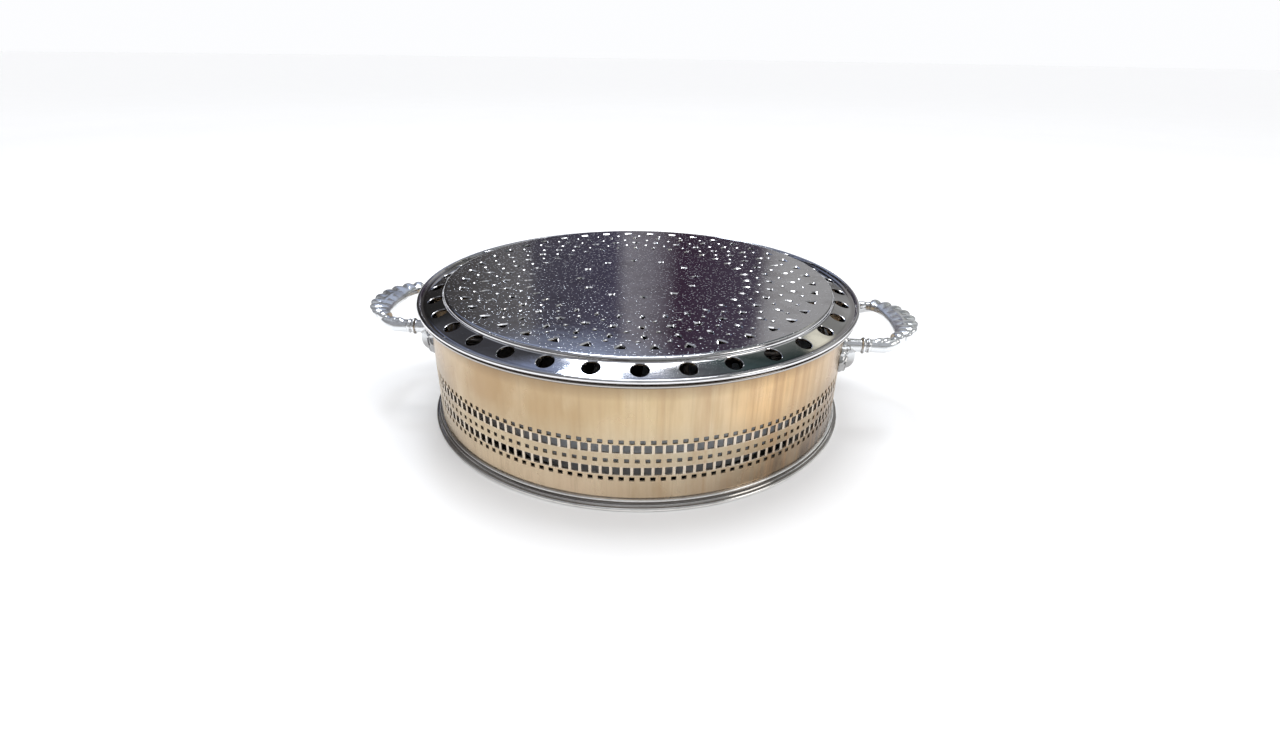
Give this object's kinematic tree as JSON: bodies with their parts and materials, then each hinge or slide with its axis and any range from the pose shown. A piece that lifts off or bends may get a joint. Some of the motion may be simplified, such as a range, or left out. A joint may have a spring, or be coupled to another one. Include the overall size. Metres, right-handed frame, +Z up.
{
  "type": "table hibachi grill",
  "caption": "Round pierced metal drum with a foot ring, loop handles and a vented lift-off lid over a cooking grid and a fire bowl",
  "frame": {"origin": "middle of the foot ring's underside, on the surface that the grill stands on", "axes": "+Z up, X through the two handles, Y across the handles"},
  "size_m": [0.3886, 0.2998, 0.089],
  "materials": {
    "silver_plate": "polished silver plate, lightly scratched",
    "wall_plate": "polished plate with a warm tan cast and faint upright streaks",
    "cast_silver": "cast and plated, tarnish in the recesses",
    "steel": "brushed",
    "bowl_steel": "spun, heat tinted and sooty inside",
    "grate_iron": "burnt black",
    "grid_wire": "heat stained wire",
    "screw_brass": "dull"
  },
  "bodies": {
    "drum": {"drum_wall": "wall_plate", "drum_rim": "silver_plate", "foot_ring": "silver_plate", "base_plate": "steel", "handle_left": "cast_silver", "handle_right": "cast_silver", "handle_screw_1": "screw_brass", "handle_screw_2": "screw_brass", "handle_screw_3": "screw_brass", "handle_screw_4": "screw_brass", "bowl_lug_1": "steel", "bowl_lug_2": "steel", "bowl_lug_3": "steel"},
    "bowl": {"fire_bowl": "bowl_steel"},
    "grate": {"charcoal_grate": "grate_iron", "grate_leg_1": "grate_iron", "grate_leg_2": "grate_iron", "grate_leg_3": "grate_iron"},
    "grid": {"cooking_grid": "grid_wire"},
    "lid": {"lid_plate": "silver_plate", "lid_tab_1": "silver_plate", "lid_tab_2": "silver_plate", "lid_tab_3": "silver_plate", "lid_tab_4": "silver_plate"}
  },
  "joints": [
    {"name": "bowl_lift", "type": "slide", "parent": "drum", "child": "bowl", "axis": [0, 0, 1], "range_m": [0, 0.075]},
    {"name": "grate_lift", "type": "slide", "parent": "bowl", "child": "grate", "axis": [0, 0, 1], "range_m": [0, 0.05]},
    {"name": "grid_lift", "type": "slide", "parent": "grate", "child": "grid", "axis": [0, 0, 1], "range_m": [0, 0.05]},
    {"name": "lid_lift", "type": "slide", "parent": "grid", "child": "lid", "axis": [0, 0, 1], "range_m": [0, 0.09]}
  ]
}
